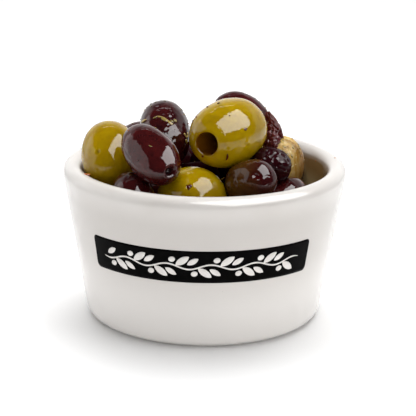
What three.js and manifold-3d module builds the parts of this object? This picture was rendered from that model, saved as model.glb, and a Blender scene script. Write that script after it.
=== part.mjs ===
// A bowl of mixed marinated olives: a round glazed dish, and the heap of olives that fills it.
// Millimetres, +Z up. The origin is the middle of the bowl's foot, on the surface that it stands on.
// The front is -Y, and +X is to the right of somebody who looks at the front.

import * as THREE from "three";
import { mergeVertices } from "three/addons/utils/BufferGeometryUtils.js";
import Module from "manifold-3d";

const wasm = await Module();
wasm.setup();

// ---------------------------------------------------------------- bowl, driving dimensions
const RIM_DIAMETER = 100;
const BOWL_HEIGHT = 55;
const WALL = 6.8; // the rim is a full round bead of this thickness
const BASE_DIAMETER = 82.6; // where the sloping wall would meet the table
const BASE_CORNER = 4.75; // radius between the wall and the foot
const FOOT_WIDTH = 3; // flat ring that the bowl stands on
const FOOT_RECESS = 1; // the underside inside the ring is this much higher
const FOOT_SLOPE = 1.2; // width of the step up into that recess
const FLOOR_HEIGHT = 7; // inside floor of the bowl
const FLOOR_CORNER = 10; // radius between the floor and the inside wall
const BOWL_SIDES = 72;
const FOOT_ARC_STEPS = 4;
const RIM_ARC_STEPS = 9;
const FLOOR_ARC_STEPS = 5;

// ---------------------------------------------------------------- heap, driving dimensions
const WALL_GAP = 0.4; // clear space between the heap and the glaze
const PRESS = 0.3; // each olive is this much thicker here, so that neighbours that touch are joined
const CORE_EDGE = 33; // height of the core where it meets the wall
const CORE_CROWN = 46; // height of the core in the middle
const HEAP_CREST = 62; // loose olives stay below a plane this high in the middle ...
const HEAP_SLOPE = 0.3; // ... which falls by this much for each millimetre towards the back
const OLIVE_BED = 25; // nothing loose sinks below this height
const PIT_HOLE = 8; // bore that the pitting machine left in the large green olive
const PIT_HOLE_DEPTH = 19;
const PIT_HOLE_SIDES = 16;
const PIT_HOLE_ARC_STEPS = 3;
const PIT_MOUTH = [-0.53, -0.85, -0.07]; // where it opens, as a direction from the olive's middle
const HEAP_SIDES = 48;
const HEAP_ARC_STEPS = 3;
const CORE_DOME_STEPS = 4;
const TOP_OLIVE_SIDES = 14;
const TUCKED_OLIVE_SIDES = 10;
const OLIVE_RINGS_PER_SIDE = 0.7;
const SETTLE_ROUNDS = 160;
const SINKING_ROUNDS = 96; // in the first rounds the loose olives sink as well
const SETTLE_SINK = 0.03; // how far one sinks in each of them
const SETTLE_STEP = 1.2; // share of an overlap that one round clears

// Olives that lie on top, where they show: centre, direction of the stone, length and width.
const TOP_OLIVES = [
  { name: "pitted green", at: [7.6, -13, 68.3], along: [-0.6, -0.78, -0.08], long: 29.8, wide: 23.2 },
  { name: "left green", at: [-33.2, -5.6, 58.2], along: [-0.05, 0.84, 0.54], long: 26, wide: 20 },
  { name: "front green", at: [-4.3, -23.2, 47.8], along: [0.7, -0.67, 0.21], long: 24.2, wide: 21.6 },
  { name: "ochre", at: [26.9, -1, 54.3], along: [0, 0.15, 1], long: 20.3, wide: 16.3 },
  { name: "front purple", at: [-18.2, -25, 63.5], along: [0.52, -0.78, -0.34], long: 27.8, wide: 16.6 },
  { name: "herbed purple", at: [-14.3, 3, 63.7], along: [0.08, -0.88, -0.46], long: 27, wide: 18 },
  { name: "high purple", at: [14.4, 9.1, 66.8], along: [0.77, 0, -0.61], long: 26.6, wide: 17.6 },
  { name: "back purple", at: [-26.3, 14.4, 55.6], along: [0.7, 0.3, 0.5], long: 23, wide: 15.6 },
  { name: "brown", at: [15.7, -25.6, 54.7], along: [0.75, -0.56, 0.35], long: 18.2, wide: 14.8 },
  { name: "wrinkled black", at: [22.9, -15.5, 58.2], along: [0.85, -0.2, -0.35], long: 14, wide: 11.2 },
  { name: "left rim purple", at: [-24, -26, 49.6], along: [0.35, -0.85, -0.3], long: 19, wide: 14 },
  { name: "right rim purple", at: [28.2, -16.5, 46.2], along: [0.45, 0.85, 0.1], long: 19, wide: 14.6 },
];

// Olives that are tucked in between and behind them. These slide until they only touch.
const TUCKED_OLIVES = [
  { at: [-4, -4, 50], along: [0.8, -0.5, 0.2], long: 20, wide: 13.5 },
  { at: [6, -13, 46], along: [0.7, 0.7, 0.1], long: 21, wide: 15 },
  { at: [13, -4, 50], along: [0.5, -0.8, 0.1], long: 22, wide: 15 },
  { at: [-19, -9, 46], along: [0.8, 0.4, -0.1], long: 22, wide: 15.5 },
  { at: [-28, 22, 46], along: [-0.6, 0.8, 0], long: 23, wide: 16 },
  { at: [-11, 29, 45], along: [1, 0.2, 0.1], long: 25, wide: 18 },
  { at: [8, 31, 44], along: [0.9, -0.4, 0], long: 23, wide: 16 },
  { at: [25, 21, 43], along: [0.6, -0.7, 0.1], long: 22, wide: 15.5 },
  { at: [-8, 15, 49], along: [0.3, 0.9, 0.1], long: 23, wide: 16 },
  { at: [6, 17, 49], along: [0.9, 0.3, 0], long: 23, wide: 17 },
  { at: [19, 13, 48], along: [0.5, 0.8, -0.2], long: 21, wide: 15 },
  { at: [-36, 5, 41], along: [0.1, 1, 0], long: 21, wide: 15 },
  { at: [0, 6, 52], along: [0.4, -0.9, 0.2], long: 21, wide: 14 },
];

// The layer below, whose backs show in the gaps, lies in a ring. Its sizes are drawn from long up to
// longer more, and from wide up to wider more. Its turns, slopes and heights are drawn from ranges
// that are stray, tilt and lift wide.
const RING = {
  count: 9,
  radius: 31,
  height: 33,
  phase: 0.35,
  seed: 7,
  left_out: [3],
  long: 21,
  longer: 4,
  wide: 15,
  wider: 2.5,
  stray: 1.2,
  tilt: 0.3,
  lift: 2,
};

// Herb slivers that lie on an olive: the direction from its middle, and the sliver's own turn.
const HERB_LENGTH = 4.2;
const HERB_WIDTH = 1.3;
const HERB_HEIGHT = 2.6;
const HERB_SIDES = 6;
const HERB_RINGS = 4;
const HERBS = [
  { on: "herbed purple", towards: [-0.15, -0.75, 0.6], turn: 0.9 },
  { on: "herbed purple", towards: [0.25, -0.8, 0.5], turn: 0.7 },
  { on: "herbed purple", towards: [0.05, -0.95, 0.25], turn: 2.4 },
  { on: "herbed purple", towards: [0.5, -0.75, 0.1], turn: 1.5 },
  { on: "ochre", towards: [0.1, -0.7, 0.75], turn: 0.4 },
  { on: "ochre", towards: [0.5, -0.6, 0.6], turn: 2.2 },
  { on: "ochre", towards: [0.75, -0.55, 0.3], turn: 1.9 },
  { on: "high purple", towards: [0.75, -0.6, -0.1], turn: 0.3 },
];

// A crumpled scrap of red pepper, wedged between the pitted olive and the ochre one.
// Its lobes are so deep as a share of its width, and twist by so many radians over half its length.
const SCRAP = { at: [23.4, -3.5, 62], long: 10.5, wide: 6.4, lobes: 5, depth: 0.16, twist: 3 };
const SCRAP_SIDES = 12;
const SCRAP_RINGS = 8;

// ---------------------------------------------------------------- small helpers

const UP = new THREE.Vector3(0, 0, 1);
const vec = (list) => new THREE.Vector3(...list);

// Points of an arc in the (radius, height) plane, angles in degrees from the outward direction.
function arc(centre_r, centre_z, radius, from, to, steps) {
  return Array.from({ length: steps + 1 }, (_, i) => {
    const angle = THREE.MathUtils.degToRad(from + ((to - from) * i) / steps);
    return new THREE.Vector2(centre_r + radius * Math.cos(angle), centre_z + radius * Math.sin(angle));
  });
}

// A closed geometry as a solid that can be joined and cut.
function solid(geometry) {
  const bare = geometry.clone();
  bare.deleteAttribute("normal");
  bare.deleteAttribute("uv");
  const merged = mergeVertices(bare, 1e-4);
  const index = merged.index.array;
  const faces = [];
  for (let i = 0; i < index.length; i += 3) {
    const [a, b, c] = index.slice(i, i + 3);
    if (a !== b && b !== c && c !== a) faces.push(a, b, c);
  }
  return new wasm.Manifold(
    new wasm.Mesh({
      numProp: 3,
      vertProperties: merged.attributes.position.array,
      triVerts: new Uint32Array(faces),
    }),
  );
}

// A solid's surface as a geometry.
function surface(made) {
  const mesh = made.getMesh();
  const geometry = new THREE.BufferGeometry();
  geometry.setAttribute("position", new THREE.BufferAttribute(mesh.vertProperties, 3));
  geometry.setIndex(new THREE.BufferAttribute(mesh.triVerts, 1));
  geometry.computeVertexNormals();
  return geometry;
}

// The body that a profile in the (radius, height) plane sweeps round the Z axis.
function turned(profile, sides) {
  return solid(new THREE.LatheGeometry(profile, sides).rotateX(Math.PI / 2));
}

// ---------------------------------------------------------------- bowl

const BEAD = WALL / 2;
const BEAD_R = RIM_DIAMETER / 2 - BEAD;
const BEAD_Z = BOWL_HEIGHT - BEAD;
const BASE_R = BASE_DIAMETER / 2;

// Lean of the wall: the line from the base that touches the outside of the rim bead.
const LEAN =
  Math.acos(-BEAD / Math.hypot(BEAD_R - BASE_R, BEAD_Z)) - Math.atan2(BEAD_Z, BEAD_R - BASE_R);
const LEAN_DEGREES = THREE.MathUtils.radToDeg(LEAN);

// Radius of the inside wall's straight slope at a height.
function insideRadius(z) {
  return BEAD_R - BEAD / Math.cos(LEAN) - (BEAD_Z - z) * Math.tan(LEAN);
}

// Centre of the arc between the inside wall and the floor.
const FLOOR_ARC_Z = FLOOR_HEIGHT + FLOOR_CORNER;
const FLOOR_ARC_R = insideRadius(FLOOR_ARC_Z) - FLOOR_CORNER / Math.cos(LEAN);

function bowl() {
  const corner_r = BASE_R - (BASE_CORNER * (1 - Math.sin(LEAN))) / Math.cos(LEAN);
  const foot_r = corner_r - FOOT_WIDTH;
  const underside = [
    new THREE.Vector2(0, FOOT_RECESS),
    new THREE.Vector2(foot_r - FOOT_SLOPE, FOOT_RECESS),
    new THREE.Vector2(foot_r, 0),
  ];
  const outer_corner = arc(corner_r, BASE_CORNER, BASE_CORNER, -90, -LEAN_DEGREES, FOOT_ARC_STEPS);
  const rim = arc(BEAD_R, BEAD_Z, BEAD, -LEAN_DEGREES, 180 - LEAN_DEGREES, RIM_ARC_STEPS);
  const inner_corner = arc(FLOOR_ARC_R, FLOOR_ARC_Z, FLOOR_CORNER, -LEAN_DEGREES, -90, FLOOR_ARC_STEPS);
  const floor = [new THREE.Vector2(0, FLOOR_HEIGHT)];
  return turned([...underside, ...outer_corner, ...rim, ...inner_corner, ...floor], BOWL_SIDES);
}

// The room inside the bowl, kept off the glaze, and open upwards as far as the heap rises.
function room() {
  const floor = FLOOR_HEIGHT + WALL_GAP;
  const ceiling = 2 * BOWL_HEIGHT;
  const corner = FLOOR_CORNER - WALL_GAP;
  const bottom = arc(FLOOR_ARC_R, FLOOR_ARC_Z, corner, -90, -LEAN_DEGREES, HEAP_ARC_STEPS);
  const past_rim = arc(BEAD_R, BEAD_Z, BEAD + WALL_GAP, 180 - LEAN_DEGREES, 90, HEAP_ARC_STEPS);
  const profile = [
    new THREE.Vector2(0, floor),
    ...bottom,
    ...past_rim,
    new THREE.Vector2(BEAD_R, ceiling),
    new THREE.Vector2(0, ceiling),
  ];
  return turned(profile, HEAP_SIDES);
}

// ---------------------------------------------------------------- where the olives lie

// Park-Miller generator, so that each run draws the same numbers.
function draws(seed) {
  let state = seed;
  return () => {
    state = (state * 16807) % 2147483647;
    return state / 2147483647;
  };
}

function ringOlives(ring) {
  const draw = draws(ring.seed);
  const olives = [];
  for (let k = 0; k < ring.count; k++) {
    const angle = (2 * Math.PI * (k + ring.phase)) / ring.count;
    const [a, b, c] = [draw(), draw(), draw()];
    if (ring.left_out.includes(k)) continue;
    const yaw = angle + Math.PI / 2 + (a - 0.5) * ring.stray;
    const z = ring.height + (c - 0.5) * ring.lift;
    olives.push({
      at: [ring.radius * Math.cos(angle), ring.radius * Math.sin(angle), z],
      along: [Math.cos(yaw), Math.sin(yaw), (b - 0.5) * ring.tilt],
      long: ring.long + ring.longer * c,
      wide: ring.wide + ring.wider * b,
    });
  }
  return olives;
}

// Five balls that fit inside an olive, along its stone, stand for it while the heap settles.
const BALLS = [-1, -0.5, 0, 0.5, 1];

function balls(olive) {
  const [a, b] = [olive.long / 2, olive.wide / 2];
  const spread = a * a - b * b;
  return BALLS.map((share) => {
    const offset = (share * spread) / a;
    return {
      offset,
      centre: olive.at.clone().addScaledVector(olive.along, offset),
      radius: b * Math.sqrt(1 - (offset * offset) / spread),
    };
  });
}

// The deepest overlap between two olives, as a push for the first of them.
function clash(one, two) {
  if (one.at.distanceTo(two.at) > (one.long + two.long) / 2) return null;
  let worst = null;
  for (const p of one.balls) {
    for (const q of two.balls) {
      const depth = p.radius + q.radius - p.centre.distanceTo(q.centre);
      if (depth > 0 && (!worst || depth > worst.depth)) worst = { depth, p, q };
    }
  }
  if (!worst) return null;
  worst.away = worst.p.centre.clone().sub(worst.q.centre).normalize();
  return worst;
}

// Adds a push of a length in a direction, applied at one of the olive's balls.
function push(olive, direction, length, offset) {
  olive.move.addScaledVector(direction, length);
  olive.turn.addScaledVector(direction, (length * offset) / (olive.long / 2) ** 2);
  olive.pushes += 1;
}

function pushOffBowlAndCrest(olive) {
  for (const { centre, radius, offset } of olive.balls) {
    const reach = Math.hypot(centre.x, centre.y);
    const wall = insideRadius(Math.min(centre.z, BOWL_HEIGHT)) - PRESS - WALL_GAP;
    const inward = new THREE.Vector3(-centre.x / reach, -centre.y / reach, 0);
    if (reach + radius > wall) push(olive, inward, reach + radius - wall, offset);
    const sunk = OLIVE_BED + radius - centre.z;
    if (sunk > 0) push(olive, UP, sunk, offset);
    const proud = centre.z + radius + HEAP_SLOPE * centre.y - HEAP_CREST;
    if (proud > 0) push(olive, UP, -proud, offset);
  }
}

// Loose olives slide and turn until they only touch each other, the bowl and the fixed ones.
function settle(fixed, loose) {
  const all = [...fixed, ...loose];
  for (let round = 0; round < SETTLE_ROUNDS; round++) {
    for (const olive of all) {
      olive.balls = balls(olive);
      olive.move = new THREE.Vector3();
      olive.turn = new THREE.Vector3();
      olive.pushes = 0;
    }
    loose.forEach((olive, i) => {
      for (const other of fixed) {
        const hit = clash(olive, other);
        if (hit) push(olive, hit.away, hit.depth, hit.p.offset);
      }
      for (const other of loose.slice(i + 1)) {
        const hit = clash(olive, other);
        if (!hit) continue;
        push(olive, hit.away, hit.depth / 2, hit.p.offset);
        push(other, hit.away, -hit.depth / 2, hit.q.offset);
      }
      pushOffBowlAndCrest(olive);
    });
    for (const olive of loose) {
      const shared = Math.max(olive.pushes, 1);
      olive.at.addScaledVector(olive.move, SETTLE_STEP / shared);
      olive.along.addScaledVector(olive.turn, 1 / shared).normalize();
      if (round < SINKING_ROUNDS) olive.at.z -= SETTLE_SINK;
    }
  }
  return all;
}

function placed({ at, along, ...rest }) {
  return { ...rest, at: vec(at), along: vec(along).normalize() };
}

// ---------------------------------------------------------------- solids of the heap

// Turns +Z to a direction, and moves the origin to a place.
function frameAt(at, direction) {
  const turn = new THREE.Quaternion().setFromUnitVectors(UP, direction);
  return new THREE.Matrix4().compose(at, turn, new THREE.Vector3(1, 1, 1));
}

function oliveSolid(olive, sides) {
  const wide = olive.wide / 2 + PRESS;
  const long = olive.long / 2 + PRESS;
  const rings = Math.round(OLIVE_RINGS_PER_SIDE * sides);
  const egg = new THREE.SphereGeometry(1, sides, rings).rotateX(Math.PI / 2);
  return solid(egg.scale(wide, wide, long).applyMatrix4(frameAt(olive.at, olive.along)));
}

// The point of an olive's skin that lies towards a direction from its middle, and the skin's normal.
function skinPoint(olive, towards) {
  const along = towards.dot(olive.along);
  const across = towards.clone().addScaledVector(olive.along, -along);
  const [a, b] = [olive.long / 2, olive.wide / 2];
  const reach = 1 / Math.sqrt((along / a) ** 2 + across.lengthSq() / (b * b));
  const at = olive.at.clone().addScaledVector(towards, reach);
  const normal = across.multiplyScalar(1 / (b * b)).addScaledVector(olive.along, along / (a * a));
  return { at, normal: normal.normalize() };
}

function herbSolid(herb, olives) {
  const carrier = olives.find((olive) => olive.name === herb.on);
  const { at, normal } = skinPoint(carrier, vec(herb.towards).normalize());
  const sliver = new THREE.SphereGeometry(0.5, HERB_SIDES, HERB_RINGS);
  sliver.scale(HERB_LENGTH, HERB_WIDTH, HERB_HEIGHT);
  return solid(sliver.rotateZ(herb.turn).applyMatrix4(frameAt(at, normal)));
}

// Crumpled scrap: an egg whose skin has lobes round it.
function scrapSolid() {
  const lump = new THREE.SphereGeometry(1, SCRAP_SIDES, SCRAP_RINGS).rotateX(Math.PI / 2);
  const position = lump.attributes.position;
  const point = new THREE.Vector3();
  for (let i = 0; i < position.count; i++) {
    point.fromBufferAttribute(position, i);
    const round = Math.atan2(point.y, point.x);
    const belt = Math.hypot(point.x, point.y);
    const swell = 1 + SCRAP.depth * belt * Math.sin(SCRAP.lobes * round + SCRAP.twist * point.z);
    position.setXYZ(i, point.x * swell, point.y * swell, point.z);
  }
  lump.scale(SCRAP.wide / 2, SCRAP.wide / 2, SCRAP.long / 2);
  return solid(lump.translate(...SCRAP.at));
}

// Bore with a round bottom, which runs along where the stone was.
function pitHole(olive) {
  const { at } = skinPoint(olive, vec(PIT_MOUTH).normalize());
  const radius = PIT_HOLE / 2;
  const profile = [
    ...arc(0, radius, radius, -90, 0, PIT_HOLE_ARC_STEPS),
    new THREE.Vector2(radius, PIT_HOLE_DEPTH + radius),
    new THREE.Vector2(0, PIT_HOLE_DEPTH + radius),
  ];
  const bore = new THREE.LatheGeometry(profile, PIT_HOLE_SIDES).rotateX(Math.PI / 2);
  const start = at.clone().addScaledVector(olive.along, -PIT_HOLE_DEPTH);
  return solid(bore.applyMatrix4(frameAt(start, olive.along)));
}

// Body of the heap under the olives: a low dome that fills the bowl up to them.
function core() {
  const edge_r = insideRadius(CORE_EDGE);
  const dome = Array.from({ length: CORE_DOME_STEPS + 1 }, (_, i) => {
    const angle = (Math.PI / 2) * (i / CORE_DOME_STEPS);
    const z = CORE_EDGE + (CORE_CROWN - CORE_EDGE) * Math.sin(angle);
    return new THREE.Vector2(i === CORE_DOME_STEPS ? 0 : edge_r * Math.cos(angle), z);
  });
  const profile = [new THREE.Vector2(0, 0), new THREE.Vector2(edge_r, 0), ...dome];
  return turned(profile, HEAP_SIDES);
}

function heap() {
  const top = TOP_OLIVES.map(placed);
  const loose = [...TUCKED_OLIVES, ...ringOlives(RING)].map(placed);
  const olives = settle(top, loose);
  const below = olives.slice(top.length);
  const pitted = olives.find((olive) => olive.name === "pitted green");
  const pieces = [
    ...top.map((olive) => oliveSolid(olive, TOP_OLIVE_SIDES)),
    ...below.map((olive) => oliveSolid(olive, TUCKED_OLIVE_SIDES)),
    ...HERBS.map((herb) => herbSolid(herb, olives)),
    scrapSolid(),
  ];
  const joined = pieces.reduce((whole, piece) => whole.add(piece), core());
  return joined.intersect(room()).subtract(pitHole(pitted));
}

// ---------------------------------------------------------------- the part

function part(name, made, look) {
  const mesh = new THREE.Mesh(surface(made), new THREE.MeshStandardMaterial(look));
  mesh.name = name;
  return mesh;
}

const bowlOfOlives = new THREE.Group();
bowlOfOlives.add(part("bowl", bowl(), { color: 0xe9e5e1, roughness: 0.18, metalness: 0 }));
bowlOfOlives.add(part("olives", heap(), { color: 0x5a3a2c, roughness: 0.22, metalness: 0 }));

export default bowlOfOlives;
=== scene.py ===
"""A bowl of mixed marinated olives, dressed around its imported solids.

Shapes are worked out in millimetres and become metres when a mesh is made. The table, the lights
and the backdrop are in metres. +Z is up, -Y is the front, and the origin is the middle of the
bowl's foot.
"""

import math

import bpy
import numpy as np
from mathutils import Matrix, Vector, noise


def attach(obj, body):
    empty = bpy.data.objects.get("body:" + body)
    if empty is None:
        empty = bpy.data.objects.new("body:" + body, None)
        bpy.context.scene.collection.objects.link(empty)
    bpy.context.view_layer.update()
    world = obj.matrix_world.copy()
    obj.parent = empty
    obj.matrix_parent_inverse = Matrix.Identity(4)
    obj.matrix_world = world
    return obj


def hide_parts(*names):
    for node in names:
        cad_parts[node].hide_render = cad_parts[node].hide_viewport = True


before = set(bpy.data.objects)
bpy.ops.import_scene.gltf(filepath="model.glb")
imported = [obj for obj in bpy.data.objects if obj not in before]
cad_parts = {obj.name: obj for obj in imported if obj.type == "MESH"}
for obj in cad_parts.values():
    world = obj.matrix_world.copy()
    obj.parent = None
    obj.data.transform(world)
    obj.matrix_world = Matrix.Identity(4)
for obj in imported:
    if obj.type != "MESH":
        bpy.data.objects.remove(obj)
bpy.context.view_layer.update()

MM = 0.001
UP = Vector((0, 0, 1))

# ---------------------------------------------------------------- bowl, in millimetres

RIM_DIAMETER = 100
BOWL_HEIGHT = 55
WALL = 6.8  # the rim is a full round bead of this thickness
BASE_DIAMETER = 82.6  # where the sloping wall would meet the table
BASE_CORNER = 4.75
FOOT_WIDTH = 3
FOOT_RECESS = 1
FOOT_SLOPE = 1.2
FOOT_BEVEL = (0.4, 0.15)  # width and height
FLOOR_HEIGHT = 7
FLOOR_CORNER = 10

BEAD = WALL / 2
BEAD_R = RIM_DIAMETER / 2 - BEAD
BEAD_Z = BOWL_HEIGHT - BEAD
BASE_R = BASE_DIAMETER / 2
LEAN = math.acos(-BEAD / math.hypot(BEAD_R - BASE_R, BEAD_Z)) - math.atan2(BEAD_Z, BEAD_R - BASE_R)

# Steps round the bowl, and along the stretches of its section.
BOWL_SIDES = 256
UNDERSIDE_STEPS = 8
BASE_CORNER_STEPS = 10
OUTSIDE_STEPS = 30
RIM_STEPS = 28
INSIDE_STEPS = 24
FLOOR_CORNER_STEPS = 12
FLOOR_STEPS = 8

# The glazed surface wanders inwards from a true turned form, in waves that are cut off at it.
UNEVENNESS = 0.16
UNEVEN_SLOW = 34  # lengths of its slow and quick waves
UNEVEN_QUICK = 13
UNEVEN_QUICK_SHARE = 0.35
UNEVEN_SHIFT = 0.6  # how far inwards the waves are moved, in the same shares

# Oil staining on the inside, which is also painted shade: its highest trace, and the height over
# which it fades in.
STAIN_AND_SHADE_TOP = BEAD_Z + 2.9
STAIN_AND_SHADE_FADE = 4

# Black printed band on the front: heights, half its spread, and where its middle lies.
BAND_LOW = 25.0
BAND_HIGH = 36.7
BAND_MIDDLE_Z = (BAND_LOW + BAND_HIGH) / 2
BAND_HALF_SPREAD = math.radians(50.5)
BAND_MIDDLE = math.radians(-1.4)
BAND_CORNER = 1.6
BAND_CORNER_STEPS = 8
BAND_STEPS = 90
PRINT_LIFT = 0.03  # the band's face stands this far off the glaze, and the sprigs' face twice as far
PRINT_DEPTH = 0.25

# The garland on it: a waving stem that ends before the band does, and tapers at its ends.
STEM_MARGIN = 5
STEM_WAVE = 15.0
STEM_SWING = 0.9
STEM_HALF_WIDTH = 0.28
STEM_TIP = 0.3  # its width at the ends, as a share
STEM_TAPER = 4
STEM_STEPS = 160

# At each bend: steps along the stem and to the bend's side, length, width, tilt, pointedness.
SPRIG_PARTS = [
    (1.6, 2.1, 5.6, 2.4, 0.62, 0.6),
    (-2.4, -1.9, 4.4, 1.9, -0.55, 0.6),
    (-1.9, 2.5, 2.3, 1.9, 0.3, 0.0),
]
BLOB_SIDES = 40
BLOB_COLUMNS = 16
BLOB_INSET = 0.01  # the end columns lie this far inside the tips

# ---------------------------------------------------------------- heap, in millimetres

WALL_GAP = 0.4
PRESS = 0.3
HEAP_CREST = 62
HEAP_SLOPE = 0.3
OLIVE_BED = 25
SETTLE_ROUNDS = 160
SETTLE_SINKING = 0.6  # the share of the rounds in which they also sink
SETTLE_SINK = 0.03
SETTLE_STEP = 1.2
BALL_SHARES = np.array([-1, -0.5, 0, 0.5, 1])  # where the five balls of an olive lie

PIT_HOLE = 8
PIT_HOLE_DEPTH = 19
PIT_MOUTH = Vector((-0.53, -0.85, -0.07)).normalized()

CORE_EDGE = 31
CORE_CROWN = 44
CORE_SKIRT = 8
CORE_SIDES = 96
CORE_STEPS = 24
CORE_LUMP = 5
# The core is painted dark, as the shade among the olives below.
CORE_SHADE_LOOK = dict(tone=0.4, oil=0.3)

# Olives that lie on top: name, kind, centre, direction of the stone, length and width.
TOP_OLIVES = [
    ("pitted green", "green", (7.6, -13, 68.3), (-0.6, -0.78, -0.08), 29.8, 23.2),
    ("left green", "green", (-33.2, -5.6, 58.2), (-0.05, 0.84, 0.54), 26, 20),
    ("front green", "green", (-4.3, -23.2, 47.8), (0.7, -0.67, 0.21), 24.2, 21.6),
    ("ochre", "ochre", (26.9, -1, 54.3), (0, 0.15, 1), 20.3, 16.3),
    ("front purple", "purple", (-18.2, -25, 63.5), (0.52, -0.78, -0.34), 27.8, 16.6),
    ("herbed purple", "purple", (-14.3, 3, 63.7), (0.08, -0.88, -0.46), 27, 18),
    ("high purple", "purple", (14.4, 9.1, 66.8), (0.77, 0, -0.61), 26.6, 17.6),
    ("back purple", "purple", (-26.3, 14.4, 55.6), (0.7, 0.3, 0.5), 23, 15.6),
    ("brown", "brown", (15.7, -25.6, 54.7), (0.75, -0.56, 0.35), 18.2, 14.8),
    ("wrinkled black", "black", (22.9, -15.5, 58.2), (0.85, -0.2, -0.35), 14, 11.2),
    ("left rim purple", "purple", (-24, -26, 49.6), (0.35, -0.85, -0.3), 19, 14),
    ("right rim purple", "purple", (28.2, -16.5, 46.2), (0.45, 0.85, 0.1), 19, 14.6),
]

# Olives that are tucked in between and behind them, which slide until they only touch.
TUCKED_OLIVES = [
    ("black", (-4, -4, 50), (0.8, -0.5, 0.2), 20, 13.5),
    ("black", (6, -13, 46), (0.7, 0.7, 0.1), 21, 15),
    ("black", (13, -4, 50), (0.5, -0.8, 0.1), 22, 15),
    ("purple", (-19, -9, 46), (0.8, 0.4, -0.1), 22, 15.5),
    ("green", (-28, 22, 46), (-0.6, 0.8, 0), 23, 16),
    ("black", (-11, 29, 45), (1, 0.2, 0.1), 25, 18),
    ("purple", (8, 31, 44), (0.9, -0.4, 0), 23, 16),
    ("brown", (25, 21, 43), (0.6, -0.7, 0.1), 22, 15.5),
    ("purple", (-8, 15, 49), (0.3, 0.9, 0.1), 23, 16),
    ("ochre", (6, 17, 49), (0.9, 0.3, 0), 23, 17),
    ("purple", (19, 13, 48), (0.5, 0.8, -0.2), 21, 15),
    ("purple", (-36, 5, 41), (0.1, 1, 0), 21, 15),
    ("black", (0, 6, 52), (0.4, -0.9, 0.2), 21, 14),
]

# The layer below, whose backs show in the gaps, lies in a ring.
RING_COUNT = 9
RING_RADIUS = 31
RING_HEIGHT = 33
RING_PHASE = 0.35
RING_SEED = 7
RING_LEFT_OUT = (3,)
RING_KINDS = ("purple", "black", "purple", "green", "purple", "brown", "purple", "green", "black")
RING_LENGTHS = (21, 25)
RING_WIDTHS = (15, 17.5)
RING_YAW = 1.2  # how much their yaw, tilt and height differ
RING_TILT = 0.3
RING_RISE = 2

# ---------------------------------------------------------------- camera

PHOTO_SIDE = 416  # pixels
FOCAL_PIXELS = 1682
SENSOR = 36  # millimetres
VIEW_ELEVATION = math.radians(17.25)
VIEW_ROLL = math.radians(0.76)
VIEW_DISTANCE = 600  # millimetres
VIEW_TARGET = Vector((0, 0, 30))
TARGET_PIXEL = (203.9, 228.25)  # where the target shows

VIEW_FORWARD = Vector((0, math.cos(VIEW_ELEVATION), -math.sin(VIEW_ELEVATION)))
VIEW_AXIS = np.array(VIEW_FORWARD)
VIEW_RIGHT = Vector((1, 0, 0))
VIEW_UP = VIEW_RIGHT.cross(VIEW_FORWARD)
VIEW_POINT = VIEW_TARGET - VIEW_DISTANCE * VIEW_FORWARD


def pixel_ray(x, y):
    """Direction from the camera through a pixel of the photograph's frame."""
    across, down = x - TARGET_PIXEL[0], y - TARGET_PIXEL[1]
    cos, sin = math.cos(VIEW_ROLL), math.sin(VIEW_ROLL)
    right = cos * across + sin * down
    below = cos * down - sin * across
    ray = VIEW_RIGHT * right - VIEW_UP * below + VIEW_FORWARD * FOCAL_PIXELS
    return ray.normalized()


def make_camera():
    middle = PHOTO_SIDE / 2
    forward = pixel_ray(middle, middle)
    right = (pixel_ray(middle + 1, middle) - pixel_ray(middle - 1, middle)).normalized()
    up = right.cross(forward).normalized()
    camera = bpy.data.objects.new("camera", bpy.data.cameras.new("camera"))
    camera.data.sensor_width = SENSOR
    camera.data.lens = SENSOR * FOCAL_PIXELS / PHOTO_SIDE
    camera.matrix_world = Matrix.Translation(VIEW_POINT * MM) @ (
        Matrix((right, up, -forward)).transposed().to_4x4()
    )
    bpy.context.collection.objects.link(camera)
    bpy.context.scene.camera = camera


# ---------------------------------------------------------------- numbers


def clamped(value):
    return min(max(value, 0), 1)


def between(ends, share):
    return ends[0] + (ends[1] - ends[0]) * share


def draws(seed):
    """Park-Miller generator, so that each run draws the same numbers."""
    multiplier, modulus = 16807, 2147483647
    state = seed
    while True:
        state = (state * multiplier) % modulus
        yield state / modulus


def ball_hits(start, ray):
    """How far along a ray it enters and leaves a ball of radius 1 round the origin, or None."""
    a, b, c = ray @ ray, 2 * ray @ start, start @ start - 1
    if b * b < 4 * a * c:
        return None
    root = math.sqrt(b * b - 4 * a * c)
    return (-b - root) / (2 * a), (-b + root) / (2 * a)


# ---------------------------------------------------------------- materials

# Noises: the size of their blobs in millimetres, and what else they differ in.
MOTTLE = dict(size=7, detail=5, roughness=0.6, distortion=0.4)
GRAIN = dict(size=1.1, detail=3, roughness=0.6)
STREAKS = dict(size=1.6, detail=4, roughness=0.65, squash=(1, 1, 0.22))
PATCHES = dict(size=11, detail=3, distortion=0.8)
PORES = dict(size=0.7)
WAVES = dict(size=3.2, detail=1.5)
FIBRES = dict(size=0.5, detail=4)
CLOUDS = dict(size=26, detail=3)
SMEARS = dict(size=12, detail=3)
GLAZE_RIPPLES = dict(size=14)
ORANGE_PEEL = dict(size=1.6)
INK = dict(size=2.5, detail=4)

MOTTLE_CONTRAST = 0.75
GRAIN_CONTRAST = 0.22
PATCH_EDGE = (0.58, 0.72)  # noise at which a patch starts, and at which it is full

# A clear coat of oil over skin that has no gloss of its own.
OIL_FILM = {
    "Specular IOR Level": 0.0,
    "Coat Weight": 1.0,
    "Coat IOR": 1.47,
    "Subsurface Radius": (1, 0.5, 0.2),
    "Subsurface Scale": 2 * MM,
}
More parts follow.
